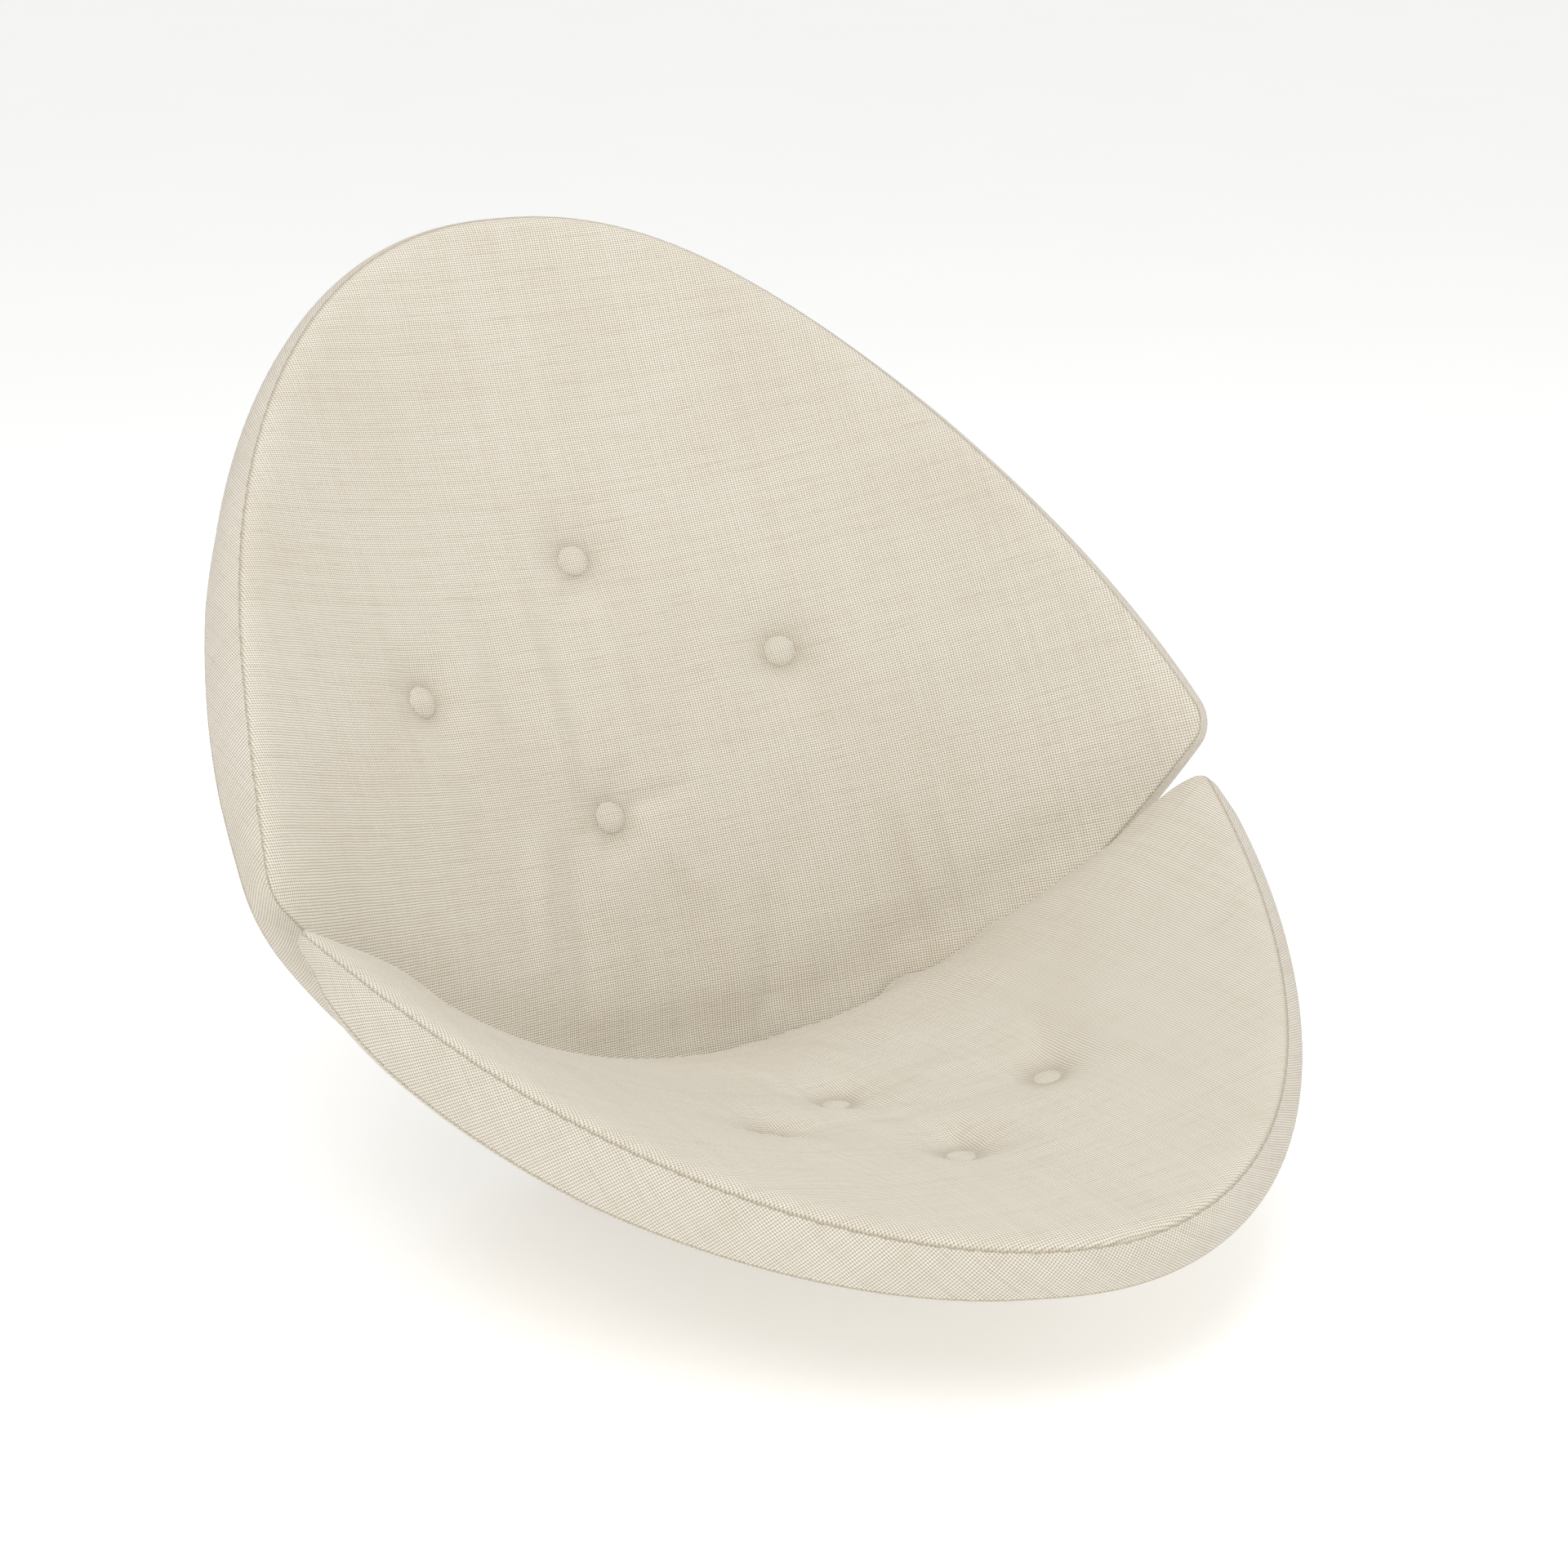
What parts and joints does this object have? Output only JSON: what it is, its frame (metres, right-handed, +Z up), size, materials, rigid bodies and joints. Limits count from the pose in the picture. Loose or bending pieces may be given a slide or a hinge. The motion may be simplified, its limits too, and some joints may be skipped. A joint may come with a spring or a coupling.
{
  "type": "tufted lounge chair pad set",
  "caption": "Two-piece pad set for a shell lounge chair: an egg-shaped curved back pad and a winged saddle-shaped seat pad, both button-tufted with boxed edges and zips behind.",
  "frame": {"origin": "where the seat pad's underside rests on the chair's shell, on the middle line", "axes": "+Z up, the sitter faces -Y, +X to the viewer's right when looking along +Y"},
  "size_m": [0.7802, 0.8766, 0.6622],
  "materials": {
    "cover_cloth": "coarse ecru plain weave",
    "button_cloth": "coarse ecru plain weave, stretched over the button",
    "shell_metal": "stamped, bright",
    "plate_metal": "stamped, plain",
    "anchor_plastic": "moulded, satin",
    "twine": "waxed upholstery twine",
    "wadding": "bonded polyester wadding",
    "foam": "open-cell polyurethane foam",
    "zip_tape": "woven polyester tape",
    "zip_coil": "nylon coil",
    "zip_metal": "enamelled, satin"
  },
  "bodies": {
    "seat_pad": {"seat_anchor_front": "anchor_plastic", "seat_anchor_left": "anchor_plastic", "seat_anchor_rear": "anchor_plastic", "seat_anchor_right": "anchor_plastic", "seat_boxing": "cover_cloth", "seat_button_cover_front": "button_cloth", "seat_button_cover_left": "button_cloth", "seat_button_cover_rear": "button_cloth", "seat_button_cover_right": "button_cloth", "seat_button_plate_front": "plate_metal", "seat_button_plate_left": "plate_metal", "seat_button_plate_rear": "plate_metal", "seat_button_plate_right": "plate_metal", "seat_button_shell_front": "shell_metal", "seat_button_shell_left": "shell_metal", "seat_button_shell_rear": "shell_metal", "seat_button_shell_right": "shell_metal", "seat_foam_core": "foam", "seat_front_panel": "cover_cloth", "seat_rear_panel": "cover_cloth", "seat_twine_front": "twine", "seat_twine_left": "twine", "seat_twine_rear": "twine", "seat_twine_right": "twine", "seat_wadding": "wadding", "seat_zip_chain": "zip_coil", "seat_zip_stops": "zip_metal", "seat_zip_tape": "zip_tape"},
    "back_pad": {"back_anchor_left": "anchor_plastic", "back_anchor_lower": "anchor_plastic", "back_anchor_right": "anchor_plastic", "back_anchor_top": "anchor_plastic", "back_boxing": "cover_cloth", "back_button_cover_left": "button_cloth", "back_button_cover_lower": "button_cloth", "back_button_cover_right": "button_cloth", "back_button_cover_top": "button_cloth", "back_button_plate_left": "plate_metal", "back_button_plate_lower": "plate_metal", "back_button_plate_right": "plate_metal", "back_button_plate_top": "plate_metal", "back_button_shell_left": "shell_metal", "back_button_shell_lower": "shell_metal", "back_button_shell_right": "shell_metal", "back_button_shell_top": "shell_metal", "back_foam_core": "foam", "back_front_panel": "cover_cloth", "back_rear_panel": "cover_cloth", "back_twine_left": "twine", "back_twine_lower": "twine", "back_twine_right": "twine", "back_twine_top": "twine", "back_wadding": "wadding", "back_zip_chain": "zip_coil", "back_zip_stops": "zip_metal", "back_zip_tape": "zip_tape"},
    "seat_zip_slider": {"seat_zip_slider": "zip_metal"},
    "seat_zip_pull": {"seat_zip_pull": "zip_metal"},
    "back_zip_slider": {"back_zip_slider": "zip_metal"},
    "back_zip_pull": {"back_zip_pull": "zip_metal"}
  },
  "joints": [
    {"name": "back_lift_off", "type": "slide", "parent": "seat_pad", "child": "back_pad", "axis": [0, 0.9, 0.4359], "range_m": [0, 0.25]},
    {"name": "back_zip_run", "type": "hinge", "parent": "back_pad", "child": "back_zip_slider", "pos_m": [0, -0.00442, 0.21199], "axis": [0, -0.3661, -0.9306], "range_deg": [0, 40]},
    {"name": "back_zip_pull_tilt", "type": "hinge", "parent": "back_zip_slider", "child": "back_zip_pull", "pos_m": [-0.14202, 0.35851, 0.06922], "axis": [0, -0.3661, -0.9306], "range_deg": [0, 150]},
    {"name": "seat_zip_run", "type": "hinge", "parent": "seat_pad", "child": "seat_zip_slider", "pos_m": [0, 0.17376, 0.45468], "axis": [0, 0.9954, -0.0963], "range_deg": [0, 34.7]},
    {"name": "seat_zip_pull_tilt", "type": "hinge", "parent": "seat_zip_slider", "child": "seat_zip_pull", "pos_m": [0.14111, 0.13027, 0.00513], "axis": [0, 0.9954, -0.0963], "range_deg": [0, 150]}
  ]
}
